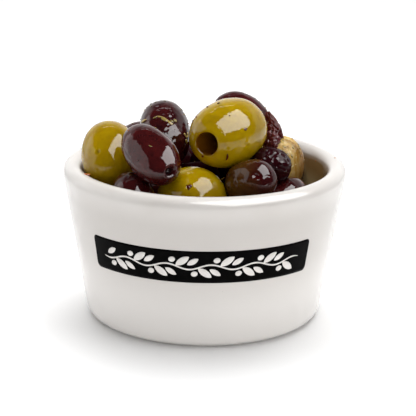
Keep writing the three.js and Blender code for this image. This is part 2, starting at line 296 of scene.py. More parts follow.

# Olive skins: shades from dark to light, then the colours of scars, which also paint the shade in pits
# and in the bore, of a second colour, on the ochre one painted shade, and of blotches.
OLIVE_SKINS = {
    "green": dict(
        shades=[(0, (114, 89, 2)), (0.35, (147, 117, 2)), (0.65, (166, 136, 3)), (1, (187, 158, 26))],
        scar=(34, 9, 4),
        blush=(112, 66, 10),
        blotch=(122, 100, 12),
        blotch_share=0.3,
        roughness=0.32,
        subsurface=0.25,
    ),
    "ochre": dict(
        shades=[(0, (112, 74, 26)), (0.4, (168, 126, 50)), (0.65, (190, 154, 78)), (1, (214, 190, 132))],
        scar=(96, 56, 26),
        # Its second colour is painted shade on its right side.
        blush=(104, 66, 30),
        blotch=(140, 92, 36),
        blotch_share=0.5,
        roughness=0.35,
        subsurface=0.25,
        coat=0.6,
        coat_roughness=0.08,
        ripple_size=1.2,
        ripple_depth=0.12,
        streaks=1.6,
    ),
    "brown": dict(
        shades=[(0, (38, 20, 8)), (0.4, (62, 36, 12)), (0.7, (84, 52, 18)), (1, (110, 74, 28))],
        scar=(60, 3, 6),
        blush=(52, 13, 15),
        blotch=(60, 20, 14),
        blotch_share=0.7,
        roughness=0.34,
        subsurface=0.08,
    ),
    "purple": dict(
        shades=[(0, (28, 7, 11)), (0.4, (50, 12, 14)), (0.7, (72, 18, 18)), (1, (98, 36, 31))],
        scar=(26, 6, 8),
        blush=(96, 46, 44),
        blotch=(38, 10, 14),
        blotch_share=0.6,
        roughness=0.3,
        subsurface=0.05,
    ),
    "black": dict(
        shades=[(0, (22, 4, 8)), (0.5, (42, 9, 15)), (1, (76, 20, 26))],
        scar=(16, 4, 6),
        blush=(50, 16, 22),
        blotch=(22, 6, 10),
        blotch_share=0.6,
        roughness=0.3,
        subsurface=0.0,
        pore_depth=0.1,
    ),
}

# Dried herb and pepper: shades from dark to light, and roughness.
HERB_LOOK = [(0, (52, 46, 20)), (0.4, (108, 96, 40)), (0.75, (170, 146, 78)), (1, (214, 190, 126))], 0.5
CHILLI_LOOK = [(0, (60, 8, 10)), (0.5, (104, 20, 16)), (1, (178, 98, 38))], 0.4
PEPPER_LOOK = [(0, (44, 10, 14)), (0.5, (84, 24, 28)), (1, (130, 66, 60))], 0.35

# Glaze: its clouds, the painted shade that darkens the wall below the rim, the painted light that
# brightens it towards the foot, and the paint of the pinholes. A pair of heights, in millimetres, is
# where a paint starts and where it is full.
GLAZE_SHADES = [(0.3, (212, 207, 202)), (0.7, (219, 215, 211))]
WALL_SHADE_PAINT = (200, 195, 190)
WALL_SHADE_HEIGHTS = (51, 44)
WALL_SHADE_SHARE = 0.85
FOOT_LIGHT_PAINT = (226, 222, 218)
FOOT_LIGHT_HEIGHTS = (32, 12)
PINHOLE_PAINT = (120, 112, 104)
PINHOLE_SPACING = 13
PINHOLE_EDGE = (0.035, 0.02)  # as shares of the spacing
PINHOLE_SHARE = 0.35
# Oil staining inside, also painted shade, darkest high up: colours low and high, and heights between.
STAIN_AND_SHADE_LOW = (190, 166, 120)
STAIN_AND_SHADE_HIGH = (136, 108, 66)
STAIN_AND_SHADE_HEIGHTS = (40, 49)
SMEAR_CONTRAST = 0.9
SMEAR_LEAST = 0.6

BLACK_PRINT = [(0.3, (3, 3, 3)), (0.7, (8, 7, 7))]
WHITE_PRINT = [(0.3, (222, 218, 214)), (0.7, (236, 232, 228))]


def linear(colour):
    """A display colour, 0 to 255, as the linear one that shaders take. A socket stays as it is."""
    if isinstance(colour, bpy.types.NodeSocket):
        return colour
    shares = [c / 255 for c in colour]
    return tuple(c / 12.92 if c <= 0.04045 else ((c + 0.055) / 1.055) ** 2.4 for c in shares) + (1.0,)


class Nodes:
    """The nodes of a material or world. What a method adds comes back as the socket of its result."""

    def __init__(self, owner, last="Principled BSDF"):
        self.owner = owner
        owner.use_nodes = True
        self.tree = owner.node_tree
        self.last = self.tree.nodes[last]

    def fill(self, inputs, values):
        """Links an input that is given a socket, and sets any other."""
        for key, value in values.items():
            if isinstance(value, bpy.types.NodeSocket):
                self.tree.links.new(value, inputs[key])
            else:
                inputs[key].default_value = value

    def finish(self, values):
        self.fill(self.last.inputs, values)
        return self.owner

    def add(self, kind, result, values=(), **settings):
        made = self.tree.nodes.new(kind)
        for key, value in settings.items():
            setattr(made, key, value)
        self.fill(made.inputs, dict(values))
        return made.outputs[result]

    def place(self, kind="Object"):
        return self.add("ShaderNodeTexCoord", kind)

    def height(self, place):
        return self.add("ShaderNodeSeparateXYZ", "Z", {"Vector": place})

    def attribute(self, name):
        return self.add("ShaderNodeAttribute", "Fac", attribute_name=name)

    def noise(self, size, detail=2.0, roughness=0.5, distortion=0.0, squash=None):
        """Noise whose blobs are so many millimetres across. A squash below 1 draws them out."""
        place = self.place()
        if squash:
            values = {0: place, 1: squash}
            place = self.add("ShaderNodeVectorMath", "Vector", values, operation="MULTIPLY")
        values = {"Vector": place, "Scale": 1 / (size * MM), "Detail": detail}
        values.update({"Roughness": roughness, "Distortion": distortion})
        return self.add("ShaderNodeTexNoise", "Fac", values)

    def maths(self, operation, *values, clamp=False):
        return self.add("ShaderNodeMath", 0, dict(enumerate(values)), operation=operation, use_clamp=clamp)

    def plus(self, first, second, clamp=False):
        return self.maths("ADD", first, second, clamp=clamp)

    def times(self, first, second, clamp=False):
        return self.maths("MULTIPLY", first, second, clamp=clamp)

    def centred(self, value):
        return self.maths("SUBTRACT", value, 0.5)

    def window(self, value, low, high):
        """0 at low and beyond it, 1 at high and beyond it, and smooth in between."""
        values = {"Value": value, "From Min": low, "From Max": high}
        return self.add("ShaderNodeMapRange", "Result", values, interpolation_type="SMOOTHSTEP")

    def ramp(self, factor, stops):
        """A smooth colour ramp through (position, display colour) stops."""
        made = self.add("ShaderNodeValToRGB", "Color", {"Fac": factor})
        elements = made.node.color_ramp.elements
        while len(elements) < len(stops):
            elements.new(0.5)
        for element, (position, colour) in zip(elements, stops):
            element.position = position
            element.color = linear(colour)
        return made

    def mix(self, factor, first, second):
        """Mixes two colours, whose sockets ShaderNodeMix keeps at the places 6 and 7."""
        values = {0: factor, 6: linear(first), 7: linear(second)}
        return self.add("ShaderNodeMix", 2, values, data_type="RGBA")

    def bump(self, height, strength, depth, below=None):
        """Bump from a height socket; depth is in millimetres."""
        values = {"Height": height, "Strength": strength, "Distance": depth * MM}
        if below is not None:
            values["Normal"] = below
        return self.add("ShaderNodeBump", "Normal", values)


def olive_skin(
    name, shades, scar, blush, blotch, blotch_share, roughness, subsurface, pore_depth=0.05,
    coat=1.0, coat_roughness=0.03, ripple_size=2.4, ripple_depth=0.08, streaks=0.0,
):
    """Skin with pores under a rippled film of oil. Streaks run up it."""
    nodes = Nodes(bpy.data.materials.new(name))
    grain = nodes.noise(**GRAIN)
    level = nodes.maths(
        "MULTIPLY_ADD", nodes.noise(**MOTTLE), MOTTLE_CONTRAST, (1 - MOTTLE_CONTRAST) / 2
    )
    level = nodes.plus(level, nodes.times(nodes.centred(grain), GRAIN_CONTRAST))
    level = nodes.plus(level, nodes.centred(nodes.attribute("tone")), clamp=True)
    if streaks:
        lines = nodes.centred(nodes.noise(**STREAKS))
        level = nodes.plus(level, nodes.times(lines, streaks), clamp=True)
    skin = nodes.ramp(level, shades)
    patches = nodes.window(nodes.noise(**PATCHES), *PATCH_EDGE)
    skin = nodes.mix(nodes.times(patches, blotch_share), skin, blotch)
    skin = nodes.mix(nodes.attribute("blush"), skin, blush)
    # Scars take the scar colour, and so do pits and the bore, where it is painted shade.
    scars_and_shade = nodes.times(nodes.attribute("mark"), nodes.plus(grain, 0.5), clamp=True)
    pores = nodes.bump(nodes.noise(**PORES), strength=0.35, depth=pore_depth)
    film = nodes.noise(ripple_size, distortion=0.6)
    return nodes.finish({
        **OIL_FILM,
        "Base Color": nodes.mix(scars_and_shade, skin, scar),
        "Roughness": roughness,
        "Normal": nodes.bump(nodes.noise(**WAVES), strength=0.3, depth=0.25, below=pores),
        "Subsurface Weight": subsurface,
        "Coat Weight": nodes.times(nodes.attribute("oil"), coat),
        "Coat Roughness": coat_roughness,
        "Coat Normal": nodes.bump(film, strength=1.0, depth=ripple_depth),
    })


def flake_material(name, shades, roughness):
    """Dried herb or pepper: a colour for each flake, and a fibrous surface under oil."""
    nodes = Nodes(bpy.data.materials.new(name))
    fibre = nodes.noise(**FIBRES)
    level = nodes.plus(nodes.attribute("tone"), nodes.centred(fibre), clamp=True)
    return nodes.finish({
        **OIL_FILM,
        "Base Color": nodes.ramp(level, shades),
        "Roughness": roughness,
        "Normal": nodes.bump(fibre, strength=0.6, depth=0.12),
        "Coat Roughness": 0.1,
    })


def glaze_material():
    """Off-white glaze: faint warm clouds, a few pinholes, oil smeared inside, painted light and shade."""
    nodes = Nodes(bpy.data.materials.new("white glaze"))
    place = nodes.place()
    height = nodes.height(place)

    def painted_at(heights):
        return nodes.window(height, *(z * MM for z in heights))

    glaze = nodes.ramp(nodes.noise(**CLOUDS), GLAZE_SHADES)
    # Painted shade: the wall below the rim is darker than the rim.
    glaze = nodes.mix(nodes.times(painted_at(WALL_SHADE_HEIGHTS), WALL_SHADE_SHARE), glaze, WALL_SHADE_PAINT)
    # Painted light: the glaze is lighter towards the foot.
    glaze = nodes.mix(painted_at(FOOT_LIGHT_HEIGHTS), glaze, FOOT_LIGHT_PAINT)
    values = {"Vector": place, "Scale": 1 / (PINHOLE_SPACING * MM)}
    dots = nodes.add("ShaderNodeTexVoronoi", "Distance", values)
    pinholes = nodes.times(nodes.window(dots, *PINHOLE_EDGE), PINHOLE_SHARE)
    glaze = nodes.mix(pinholes, glaze, PINHOLE_PAINT)
    # Oil staining on the inside, also painted shade, darkest near the top.
    smears = nodes.maths("MULTIPLY_ADD", nodes.noise(**SMEARS), SMEAR_CONTRAST, SMEAR_LEAST)
    oiled_and_shaded = nodes.times(nodes.attribute("oil"), smears, clamp=True)
    stain_and_shade = nodes.mix(painted_at(STAIN_AND_SHADE_HEIGHTS), STAIN_AND_SHADE_LOW, STAIN_AND_SHADE_HIGH)
    ripples = nodes.bump(nodes.noise(**GLAZE_RIPPLES), strength=0.25, depth=0.4)
    return nodes.finish({
        "Base Color": nodes.mix(oiled_and_shaded, glaze, stain_and_shade),
        "Roughness": 0.22,
        "IOR": 1.5,
        "Normal": nodes.bump(nodes.noise(**ORANGE_PEEL), strength=0.12, depth=0.05, below=ripples),
        "Coat Weight": 0.35,
        "Coat Roughness": 0.02,
    })


def print_material(name, shades):
    """Fired print under the glaze, with slightly uneven ink."""
    nodes = Nodes(bpy.data.materials.new(name))
    return nodes.finish({
        "Base Color": nodes.ramp(nodes.noise(**INK), shades),
        "Roughness": 0.3,
        "Normal": nodes.bump(nodes.noise(**ORANGE_PEEL), strength=0.1, depth=0.05),
        "Specular IOR Level": 0.02,
    })


# ---------------------------------------------------------------- meshes


class Builder:
    """Collects closed surfaces, in millimetres, with one number for each named attribute a point."""

    def __init__(self, *attributes):
        self.points = []
        self.faces = []
        self.values = {name: [] for name in attributes}

    def add(self, points, faces, **values):
        start = len(self.points)
        self.points.extend(points)
        self.faces.extend([tuple(start + i for i in face) for face in faces])
        for name, kept in self.values.items():
            given = values.get(name, 0.0)
            kept.extend([given] * len(points) if np.isscalar(given) else given)

    def piece(self, name, material, slot, *nodes):
        mesh = bpy.data.meshes.new(name)
        mesh.from_pydata([tuple(c * MM for c in p) for p in self.points], [], self.faces)
        mesh.polygons.foreach_set("use_smooth", [True] * len(mesh.polygons))
        for key, values in self.values.items():
            mesh.attributes.new(key, "FLOAT", "POINT").data.foreach_set("value", values)
        mesh.update()
        mesh.materials.append(material)
        made = bpy.data.objects.new(name, mesh)
        bpy.context.collection.objects.link(made)
        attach(made, "root")
        if nodes:
            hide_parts(*nodes)


SKIN_VALUES = ("tone", "mark", "blush", "oil")


def directions(sides):
    """Angles evenly round a circle."""
    return [math.tau * k / sides for k in range(sides)]


def ring_faces(rings, sides):
    """Faces of a closed surface: a first point, then rings of points, then a last point."""
    faces = []
    last = 1 + rings * sides
    for k in range(sides):
        j = (k + 1) % sides
        faces.append((0, 1 + j, 1 + k))
        for r in range(rings - 1):
            low, high = 1 + r * sides, 1 + (r + 1) * sides
            faces.append((low + k, low + j, high + j, high + k))
        end = last - sides
        faces.append((end + k, end + j, last))
    return faces


def downward_faces(rings, sides):
    """The same for rings that go down instead of up."""
    return [tuple(reversed(face)) for face in ring_faces(rings, sides)]


def ball_points(sides, rings):
    """Points of a ball of radius 1: the top, then rings downwards, then the bottom."""
    points = [(0.0, 0.0, 1.0)]
    for r in range(1, rings + 1):
        theta = math.pi * r / (rings + 1)
        flat, z = math.sin(theta), math.cos(theta)
        points += [(flat * math.cos(phi), flat * math.sin(phi), z) for phi in directions(sides)]
    return points + [(0.0, 0.0, -1.0)]


# ---------------------------------------------------------------- bowl


def arc(centre_r, centre_z, radius, start, stop, steps):
    """Points of an arc in the (radius, height) plane, angles in radians from outwards."""
    angles = [start + (stop - start) * i / steps for i in range(steps + 1)]
    return [(centre_r + radius * math.cos(a), centre_z + radius * math.sin(a)) for a in angles]


def line(start, stop, steps):
    """Points between two points of the plane, without the ends."""
    return [tuple(a + (b - a) * i / steps for a, b in zip(start, stop)) for i in range(1, steps)]


def inside_radius(z):
    return BEAD_R - BEAD / math.cos(LEAN) - (BEAD_Z - z) * math.tan(LEAN)


def outside_radius(z):
    return BEAD_R + BEAD / math.cos(LEAN) - (BEAD_Z - z) * math.tan(LEAN)


def bowl_profile():
    """The bowl's section, from the middle of the underside round to the middle of the floor."""
    corner_r = BASE_R - BASE_CORNER * (1 - math.sin(LEAN)) / math.cos(LEAN)
    foot_r = corner_r - FOOT_WIDTH
    bevel_r, bevel_z = FOOT_BEVEL
    inner_z = FLOOR_HEIGHT + FLOOR_CORNER
    inner_r = inside_radius(inner_z) - FLOOR_CORNER / math.cos(LEAN)
    foot = [(foot_r - FOOT_SLOPE, FOOT_RECESS), (foot_r - bevel_r, bevel_z), (foot_r, 0)]
    outer_corner = arc(corner_r, BASE_CORNER, BASE_CORNER, -math.pi / 2, -LEAN, BASE_CORNER_STEPS)
    rim = arc(BEAD_R, BEAD_Z, BEAD, -LEAN, math.pi - LEAN, RIM_STEPS)
    inner_corner = arc(inner_r, inner_z, FLOOR_CORNER, -LEAN, -math.pi / 2, FLOOR_CORNER_STEPS)
    return (
        [(0, FOOT_RECESS)]
        + line((0, FOOT_RECESS), foot[0], UNDERSIDE_STEPS)
        + foot
        + outer_corner
        + line(outer_corner[-1], rim[0], OUTSIDE_STEPS)
        + rim
        + line(rim[-1], inner_corner[0], INSIDE_STEPS)
        + inner_corner
        + line(inner_corner[-1], (0, FLOOR_HEIGHT), FLOOR_STEPS)
        + [(0, FLOOR_HEIGHT)]
    )


def wander(x, y, z):
    """How far the bowl's surface stands out from a true turned form here, which is 0 at most."""
    at = Vector((x, y, z))
    slow, quick = noise.noise(at / UNEVEN_SLOW), noise.noise(at / UNEVEN_QUICK)
    return UNEVENNESS * min(slow + UNEVEN_QUICK_SHARE * quick - UNEVEN_SHIFT, 0)


def glaze_stain_and_shade(radius, z):
    """Oil staining and painted shade, as a share: none outside and on the rim, all below the olives' tops.
    """
    inside = radius < inside_radius(z) + BEAD and z > FLOOR_HEIGHT - 1
    return clamped((STAIN_AND_SHADE_TOP - z) / STAIN_AND_SHADE_FADE) if inside else 0.0


def make_bowl(material):
    profile = bowl_profile()
    points, oil = [(0, 0, profile[0][1])], [0.0]
    for radius, z in profile[1:-1]:
        fixed = z < BASE_CORNER / 2  # the foot stays flat
        for a in directions(BOWL_SIDES):
            x, y = radius * math.cos(a), radius * math.sin(a)
            push = 0 if fixed else wander(x, y, z)
            points.append((x + push * math.cos(a), y + push * math.sin(a), z))
            oil.append(glaze_stain_and_shade(radius, z))
    points.append((0, 0, profile[-1][1]))
    oil.append(1.0)
    bowl = Builder("oil")
    bowl.add(points, ring_faces(len(profile) - 2, BOWL_SIDES), oil=oil)
    bowl.piece("glazed_bowl", material, "glaze", "bowl")


# ---------------------------------------------------------------- printed band


def wall_point(angle, z, lift):
    """A point on the outside wall. The angle is from the front, positive to the right."""
    out = Vector((math.sin(angle), -math.cos(angle), 0))
    at = out * outside_radius(z) + UP * z
    at += out * wander(at.x, at.y, z)
    normal = out * math.cos(LEAN) - UP * math.sin(LEAN)
    return at + normal * lift


def wall_plate(builder, columns, lift):
    """A thin plate on the wall. Each column is (distance along the wall, low and high edge)."""
    middle_r = outside_radius(BAND_MIDDLE_Z)
    rows = max(1, math.ceil(max(high - low for _, low, high in columns)))
    around = 2 * (rows + 1)
    points, faces = [], []
    for along, low, high in columns:
        angle = BAND_MIDDLE + along / middle_r
        heights = [low + (high - low) * i / rows for i in range(rows + 1)]
        points += [wall_point(angle, z, lift) for z in heights]
        points += [wall_point(angle, z, lift - PRINT_DEPTH) for z in reversed(heights)]
    for c in range(len(columns) - 1):
        a, b = around * c, around * (c + 1)
        for k in range(around):
            j = (k + 1) % around
            faces.append((a + j, a + k, b + k, b + j))
    end = around * (len(columns) - 1)
    faces += [tuple(range(around)), tuple(end + k for k in reversed(range(around)))]
    builder.add(points, faces)


def band_columns(half_length):
    """Columns of the band, a rectangle with rounded corners."""
    left = []
    for i in range(BAND_CORNER_STEPS + 1):
        a = math.pi / 2 * i / BAND_CORNER_STEPS
        cut = BAND_CORNER - BAND_CORNER * math.sin(a)
        x = BAND_CORNER - BAND_CORNER * math.cos(a) - half_length
        left.append((x, BAND_LOW + cut, BAND_HIGH - cut))
    inner = half_length - BAND_CORNER
    xs = [-inner + 2 * inner * i / BAND_STEPS for i in range(1, BAND_STEPS)]
    middle = [(x, BAND_LOW, BAND_HIGH) for x in xs]
    return left + middle + [(-x, low, high) for x, low, high in reversed(left)]


def stem_columns(reach):
    columns = []
    for i in range(STEM_STEPS + 1):
        x = -reach + 2 * reach * i / STEM_STEPS
        z = stem_height(x)
        half = STEM_HALF_WIDTH * min(1, STEM_TIP + (reach - abs(x)) / STEM_TAPER)
        columns.append((x, z - half, z + half))
    return columns


def stem_height(x):
    return BAND_MIDDLE_Z + STEM_SWING * math.sin(math.tau * x / STEM_WAVE)


def blob_columns(x, z, length, width, tilt, point):
    """Columns of a leaf or a round fruit: a lens when point is 1, an ellipse when it is 0."""
    outline = []
    for a in directions(BLOB_SIDES):
        along = math.cos(a) * length / 2
        across = math.sin(a) * abs(math.sin(a)) ** point * width / 2
        outline.append((
            x + along * math.cos(tilt) - across * math.sin(tilt),
            z + along * math.sin(tilt) + across * math.cos(tilt),
        ))
    xs = [p[0] for p in outline]
    low_x, high_x = min(xs), max(xs)
    columns = []
    for i in range(BLOB_COLUMNS + 1):
        cut = low_x + (high_x - low_x) * (0.5 - 0.5 * math.cos(math.pi * i / BLOB_COLUMNS))
        cut = min(max(cut, low_x + BLOB_INSET), high_x - BLOB_INSET)
        crossings = []
        for (x0, z0), (x1, z1) in zip(outline, outline[1:] + outline[:1]):
            if (x0 - cut) * (x1 - cut) <= 0 and x0 != x1:
                crossings.append(z0 + (z1 - z0) * (cut - x0) / (x1 - x0))
        columns.append((cut, min(crossings), max(crossings)))
    return columns


def make_band(black, white):
    half_length = BAND_HALF_SPREAD * outside_radius(BAND_MIDDLE_Z)
    band = Builder()
    wall_plate(band, band_columns(half_length), PRINT_LIFT)
    band.piece("printed_band", black, "glaze")

    reach = half_length - STEM_MARGIN
    sprigs = Builder()
    wall_plate(sprigs, stem_columns(reach), 2 * PRINT_LIFT)
    bends = int(2 * reach / (STEM_WAVE / 2))
    for k in range(bends):
        x = (k - (bends - 1) / 2) * STEM_WAVE / 2
        side = 1 if k % 2 else -1
        for along, aside, length, width, tilt, point in SPRIG_PARTS:
            turned = side * tilt if point else tilt  # the fruits all tilt one way
            z = stem_height(x) + side * aside
            wall_plate(sprigs, blob_columns(x + along, z, length, width, turned, point), 2 * PRINT_LIFT)
    sprigs.piece("printed_sprigs", white, "glaze")


# ---------------------------------------------------------------- where the olives lie


class Olive:
    def __init__(self, kind, at, along, length, width, name=""):
        self.name = name
        self.kind = kind
        self.at = np.array(at, float)
        self.along = np.array(along, float) / np.linalg.norm(along)
        self.a = length / 2
        self.b = width / 2
        self.seed = 0  # picks its place in the noise

    def find_balls(self):
        """Five balls inside the olive, along its stone, stand for it while the heap settles."""
        spread = self.a**2 - self.b**2
        self.offsets = BALL_SHARES * spread / self.a
        self.centres = self.at + self.offsets[:, None] * self.along
        self.radii = self.b * np.sqrt(1 - self.offsets**2 / spread)
        self.move = np.zeros(3)
        self.turn = np.zeros(3)
        self.pushes = 0

    def push(self, direction, length, offset):
        self.move += direction * length
        self.turn += direction * length * offset / self.a**2
        self.pushes += 1

    def frame(self):
        """The olive's own frame, with Z along the stone, as a matrix of columns."""
        return np.array(UP.rotation_difference(Vector(self.along)).to_matrix())

    def skin_point(self, towards):
        """The point of the skin in a direction from the middle, and the normal there."""
        towards = np.array(towards) / np.linalg.norm(towards)
        along = towards @ self.along
        across = towards - along * self.along
        reach = 1 / math.sqrt((along / self.a) ** 2 + across @ across / self.b**2)
        normal = across / self.b**2 + self.along * along / self.a**2
        return self.at + towards * reach, normal / np.linalg.norm(normal)

    def seen_at(self, pixel):
        """The direction from the middle to the skin that shows at a pixel, or None beside it."""
        squash = self.frame().T / np.array([[self.b], [self.b], [self.a]])
        start = np.array(VIEW_POINT) - self.at
        ray = np.array(pixel_ray(*pixel))
        hits = ball_hits(squash @ start, squash @ ray)
        if hits is None:
            return None
        place = start + hits[0] * ray
        return place / np.linalg.norm(place)


def ring_olives():
    draw = draws(RING_SEED)
    olives = []
    for k in range(RING_COUNT):
        angle = math.tau * (k + RING_PHASE) / RING_COUNT
        a, b, c = next(draw), next(draw), next(draw)
        if k in RING_LEFT_OUT:
            continue
        yaw = angle + math.pi / 2 + (a - 0.5) * RING_YAW
        z = RING_HEIGHT + RING_RISE * (c - 0.5)
        at = (RING_RADIUS * math.cos(angle), RING_RADIUS * math.sin(angle), z)
        along = (math.cos(yaw), math.sin(yaw), (b - 0.5) * RING_TILT)
        olives.append(Olive(RING_KINDS[k], at, along, between(RING_LENGTHS, c), between(RING_WIDTHS, b)))
    return olives


def clash(one, two):
    """The deepest overlap of two olives: its depth, both balls' offsets, and the way apart."""
    if np.linalg.norm(one.at - two.at) > one.a + two.a:
        return None
    apart = one.centres[:, None] - two.centres[None]
    distance = np.linalg.norm(apart, axis=2)
    depth = one.radii[:, None] + two.radii[None] - distance
    p, q = np.unravel_index(depth.argmax(), depth.shape)
    if depth[p, q] <= 0:
        return None
    return depth[p, q], one.offsets[p], two.offsets[q], apart[p, q] / distance[p, q]


def push_off_bowl_and_crest(olive):
    for centre, radius, offset in zip(olive.centres, olive.radii, olive.offsets):
        reach = math.hypot(centre[0], centre[1])
        wall = inside_radius(min(centre[2], BOWL_HEIGHT)) - PRESS - WALL_GAP
        if reach + radius > wall:
            inward = np.array([-centre[0] / reach, -centre[1] / reach, 0])
            olive.push(inward, reach + radius - wall, offset)
        sunk = OLIVE_BED + radius - centre[2]
        if sunk > 0:
            olive.push(np.array(UP), sunk, offset)
        proud = centre[2] + radius + HEAP_SLOPE * centre[1] - HEAP_CREST
        if proud > 0:
            olive.push(np.array(UP), -proud, offset)


def settle(fixed, loose):
    """Loose olives slide and turn until they only touch each other, the bowl and the fixed ones."""
    for turn in range(SETTLE_ROUNDS):
        for olive in fixed + loose:
            olive.find_balls()
        for i, olive in enumerate(loose):
            for other in fixed:
                hit = clash(olive, other)
                if hit:
                    olive.push(hit[3], hit[0], hit[1])
            for other in loose[i + 1 :]:
                hit = clash(olive, other)
                if hit:
                    olive.push(hit[3], hit[0] / 2, hit[1])
                    other.push(hit[3], -hit[0] / 2, hit[2])
            push_off_bowl_and_crest(olive)
        for olive in loose:
            shared = max(olive.pushes, 1)
            olive.at += olive.move * SETTLE_STEP / shared
            olive.along += olive.turn / shared
            olive.along /= np.linalg.norm(olive.along)
            if turn < SETTLE_SINKING * SETTLE_ROUNDS:
                olive.at[2] -= SETTLE_SINK


def heaped_olives():
    top = [Olive(*rest, name) for name, *rest in TOP_OLIVES]
    loose = [Olive(*row) for row in TUCKED_OLIVES] + ring_olives()
    settle(top, loose)
    for i, olive in enumerate(top + loose):
        olive.seed = i
    return top + loose


# ---------------------------------------------------------------- olives

# Marks on the skin, placed where they show: pixel, kind, radius and depth in millimetres.
SKIN_MARKS = {
    "front purple": [((170.6, 171.2), "pit", 2.0, 2.6), ((148.2, 144.2), "crumb", 0.7, 0.25)],
    "brown": [
        ((265, 171), "dent", 6.0, 0.5),
        ((252.4, 175.8), "dimple", 1.5, 0.8),
        ((256.4, 177.4), "dimple", 1.2, 0.5),
    ],
    "front green": [((189.0, 187.0), "scar", 1.3, 0.3)],
    "left green": [((98.0, 152.0), "scar", 1.3, 0.25)],
    "ochre": [
        ((286.0, 140.6), "crumb", 1.0, 0.35),
        ((289.0, 142.0), "crumb", 1.1, 0.4),
        ((292.0, 144.0), "crumb", 1.0, 0.45),
        ((294.6, 146.4), "crumb", 1.1, 0.4),
        ((297.0, 149.0), "crumb", 1.0, 0.4),
        ((299.0, 152.0), "crumb", 0.9, 0.35),
        ((300.4, 155.6), "crumb", 0.8, 0.3),
    ],
    "pitted green": [
        ((228.6, 149.8), "blister", 0.8, 0.5),
        ((247.0, 142.5), "blister", 0.8, 0.45),
        ((243.6, 147.0), "blister", 0.6, 0.3),
    ],
}

# Small wet blisters, where they show, about a millimetre across.
BUMPS = {
    "herbed purple": [
        (158, 118), (162.5, 121.5), (166.5, 118.5), (167, 124), (171, 121), (161, 126), (165, 128.5),
        (170, 127), (174.5, 125), (168.5, 132), (173, 131), (177.5, 130), (172, 136), (176.5, 136),
        (180, 134), (163.5, 115.5), (179, 140), (175, 141), (182, 139), (169, 115),
    ],
    "high purple": [
        (266, 100), (271, 106), (267, 110), (273, 113), (269, 117), (275, 120), (265, 119), (271, 124),
        (277, 127), (266, 127), (273, 131), (279, 133), (268, 134), (275, 137), (262, 112), (280, 139),
    ],
    "wrinkled black": [
        (285.8, 157.8), (263, 159), (271.2, 162.4), (274.5, 152), (266, 150), (279.5, 153.5),
        (282, 151.5), (281, 163), (288, 164), (275, 168), (284, 171), (258.5, 152.5), (268.5, 156),
        (277, 159),
    ],
    "ochre": [
        (277, 142), (280, 145), (283, 148.5), (286, 151), (279, 149), (284, 143), (288, 146),
        (282, 153), (287, 156), (291, 149), (276, 146), (281, 141), (290, 153), (285, 146.5),
    ],
    "left rim purple": [
        (131, 176), (135, 180), (139, 178), (142, 183), (137, 186), (146, 187), (128, 182),
    ],
}
BUMP_RADIUS = 0.75
BUMP_HEIGHT = 0.26

# How marks look, in shares of their radius and depth.
MARK_REACH = 2.2
PIT_EDGE = 0.85
PIT_STEEPNESS = 9
# A pit's darkness is painted shade in its hollow.
PIT_SHADE = 1.2
PIT_LIP = (0.07, 1.35, 0.1)  # height, place and breadth
SCAR_LIP = (0.7, 0.9, 0.08)
SCAR_STEEPNESS = 1.6
SCAR_DARKNESS = 0.6

# The others: up or down, and how steep; then the darkness in the middle, and how steeply it ends.
SOFT_MARKS = {
    "dimple": (-1, 1.6, 1.3, 1.6),
    "dent": (-1, 1.4, 0.0, 1.0),
    "blister": (1, 1.4, 0.0, 1.0),
    "crumb": (1, 1.8, 0.6, 2.0),
}

# Bumps of the skin itself: the heights of slow and quick ones, and the depth of wrinkles.
SHAPES = {
    "green": (0.22, 0.05, 0.0),
    "ochre": (0.22, 0.06, 0.12),
    "brown": (0.26, 0.07, 0.05),
    "purple": (0.24, 0.07, 0.04),
    "black": (0.45, 0.06, 0.16),
}
SLOW_LENGTH = 7.5
QUICK_LENGTH = 2.4
WRINKLE_LENGTH = 3.4
WRINKLE_BEND = (0.8, 5)  # how much the wrinkles bend, and the length of their bends
WRINKLE_RISE = 0.75
WRINKLE_NARROWING = 3.2
WRINKLE_SEED = 1  # of the noise that bends them, which is another one each run without it
SEED_STEP = (31.7, 17.3, 7.9)  # from one olive's place in the noise to the next one's

# How much fuller than an ellipsoid each olive is at its shoulders, and at which end it is wider:
# above 0 at the end that its direction points to.
FORMS = {
    "pitted green": (0.045, -0.06),
    "front green": (0.05, 0.0),
    "left green": (0.02, 0.0),
    "front purple": (0.02, 0.0),
    "herbed purple": (0.075, 0.0),
    "high purple": (-0.03, -0.2),
    "wrinkled black": (0.07, 0.08),
    "brown": (0.06, 0.0),
}
USUAL_FORM = (0.02, 0.02)

# How deep the near half of a pressed olive is, as a share of a round one's.
PRESSED = {"front purple": 0.84, "brown": 0.76}
PRESSED_FACING = 1.5  # how soon that starts where the skin turns to the camera

# Shares of oil. The unnamed olives in the middle lie under others, where no light glances off them.
SHELTERED_REACH = 27
SHELTERED_OIL = 0.08
# Painted shade: the sheltered olives' skins are darker.
SHELTERED_SHADE = 0.2  # how much darker their skins are
TOP_OIL = {"high purple": 0.6, "wrinkled black": 0.32, "ochre": 0.6}
BLACK_OIL = 0.3  # the black ones are dry and wrinkled
BLISTER_OIL = 1.6  # a blister is wet from its foot up

# A second colour on the right: the brown olive's own purple side, and painted shade on the ochre one.
# Its share, and where it starts and how far it takes to be full.
BLUSH_AND_SHADE_SIDES = {"brown": (1.0, -3.5, 7), "ochre": (0.75, 3.0, 4)}

# The pitted olive's bore, in millimetres and steps.
BORE_LIP = 0.6
BORE_OVAL = 0.02  # how much its radius differs, as shares
BORE_THREE_SIDED = 0.008
BORE_ROUGHNESS = 0.12
BORE_ROUGH_ROUND = 3  # the radius, in the noise, of the circle that its wall follows
BORE_ROUGH_LENGTH = 3
